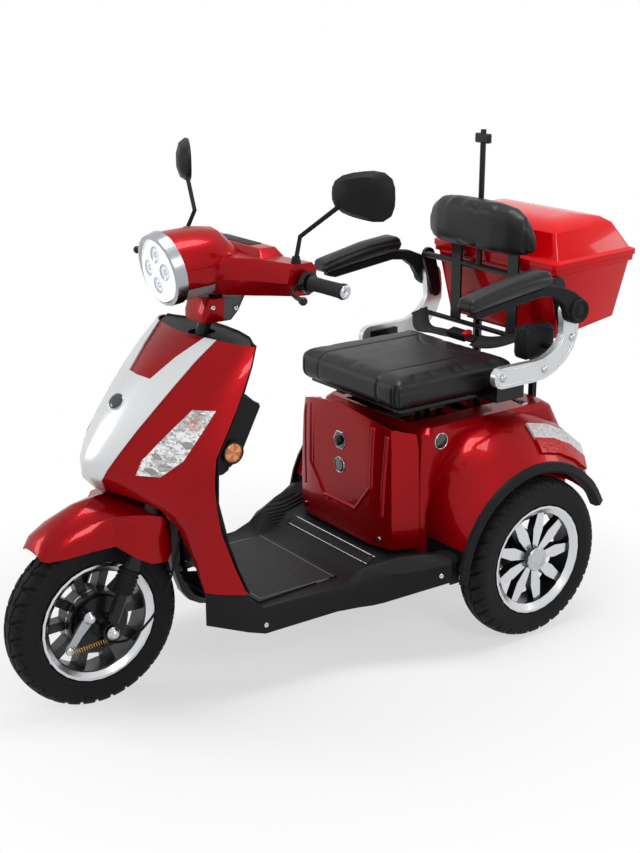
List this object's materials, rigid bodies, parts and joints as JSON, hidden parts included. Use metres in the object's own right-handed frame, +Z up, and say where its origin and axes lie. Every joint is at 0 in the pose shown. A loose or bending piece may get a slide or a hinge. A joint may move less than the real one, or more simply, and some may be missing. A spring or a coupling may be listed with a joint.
{
  "type": "electric tricycle",
  "caption": "Electric mobility tricycle with a leg shield, flat foot deck, padded seat with folding armrests and a lidded rear box.",
  "frame": {"origin": "on the ground, under the middle of the object's box", "axes": "+Z up, the front wheel leads towards -Y, the rider's left is +X"},
  "size_m": [0.8342, 1.7027, 1.218],
  "materials": {
    "paint_red": "deep glossy metallic red",
    "paint_silver": "satin silver",
    "plastic_black": "textured black plastic",
    "steel_black": "black semi-gloss coat",
    "rubber": "moulded black rubber",
    "leatherette": "black leatherette over foam",
    "chrome": "bright plating",
    "alloy_silver": "satin alloy",
    "lens_clear": "clear lens",
    "lens_red": "red lens",
    "plastic_grey": "grey case",
    "webbing": "woven black webbing"
  },
  "bodies": {
    "chassis": {"frame": "steel_black", "foot_deck": "plastic_black", "foot_mat": "rubber", "leg_shield": "paint_red", "nose_panel": "paint_silver", "knee_panel": "plastic_black", "signal_lamp_left": "lens_clear", "signal_lamp_right": "lens_clear", "battery_cover": "paint_red", "rear_body": "paint_red", "fender_flare_left": "plastic_black", "fender_flare_right": "plastic_black", "tail_lamp_left": "lens_red", "tail_lamp_right": "lens_red", "rear_axle": "steel_black", "battery_pack": "plastic_grey", "box_tub": "paint_red"},
    "box_lid": {"box_lid": "paint_red"},
    "seat": {"seat_base": "steel_black", "seat_cushion": "leatherette", "seat_bracket_left": "paint_silver", "seat_bracket_right": "paint_silver", "backrest_frame": "steel_black", "backrest_pad": "leatherette", "seat_belt": "webbing", "belt_retractor": "plastic_black"},
    "armrest_left": {"armrest_left": "plastic_black", "armrest_pad_left": "leatherette"},
    "armrest_right": {"armrest_right": "plastic_black", "armrest_pad_right": "leatherette"},
    "steering": {"fork": "steel_black", "mudguard": "paint_red", "brake_plate": "steel_black", "brake_arm": "chrome", "brake_cable": "plastic_black", "handlebar": "steel_black", "head_cover": "paint_red", "headlamp_bezel": "alloy_silver", "headlamp_lens": "lens_clear", "column_cover": "paint_red", "grip_left": "rubber", "grip_right": "rubber", "brake_lever_left": "steel_black", "brake_lever_right": "steel_black", "mirror_left": "plastic_black", "mirror_right": "plastic_black"},
    "front_wheel": {"front_tyre": "rubber", "front_rim": "alloy_silver"},
    "rear_wheel_left": {"rear_left_tyre": "rubber", "rear_left_rim": "alloy_silver"},
    "rear_wheel_right": {"rear_right_tyre": "rubber", "rear_right_rim": "alloy_silver"}
  },
  "joints": [
    {"name": "steering", "type": "hinge", "parent": "chassis", "child": "steering", "pos_m": [0, -0.3193, 0.86], "axis": [0, 0.4067, 0.9135], "range_deg": [-38, 38]},
    {"name": "front_wheel_spin", "type": "hinge", "parent": "steering", "child": "front_wheel", "pos_m": [0, -0.6455, 0.206], "axis": [1, 0, 0], "continuous": true},
    {"name": "rear_wheel_left_spin", "type": "hinge", "parent": "chassis", "child": "rear_wheel_left", "pos_m": [0.325, 0.4005, 0.206], "axis": [1, 0, 0], "continuous": true},
    {"name": "rear_wheel_right_spin", "type": "hinge", "parent": "chassis", "child": "rear_wheel_right", "pos_m": [-0.325, 0.4005, 0.206], "axis": [1, 0, 0], "continuous": true},
    {"name": "seat_slide", "type": "slide", "parent": "chassis", "child": "seat", "axis": [0, -1, 0], "range_m": [0, 0.06]},
    {"name": "armrest_left_lift", "type": "hinge", "parent": "seat", "child": "armrest_left", "pos_m": [0.285, 0.5655, 0.804], "axis": [-1, 0, 0], "range_deg": [0, 95]},
    {"name": "armrest_right_lift", "type": "hinge", "parent": "seat", "child": "armrest_right", "pos_m": [-0.285, 0.5655, 0.804], "axis": [-1, 0, 0], "range_deg": [0, 95]},
    {"name": "box_lid_lift", "type": "hinge", "parent": "chassis", "child": "box_lid", "pos_m": [0, 0.8445, 0.8999], "axis": [-1, 0, 0], "range_deg": [0, 75]}
  ]
}
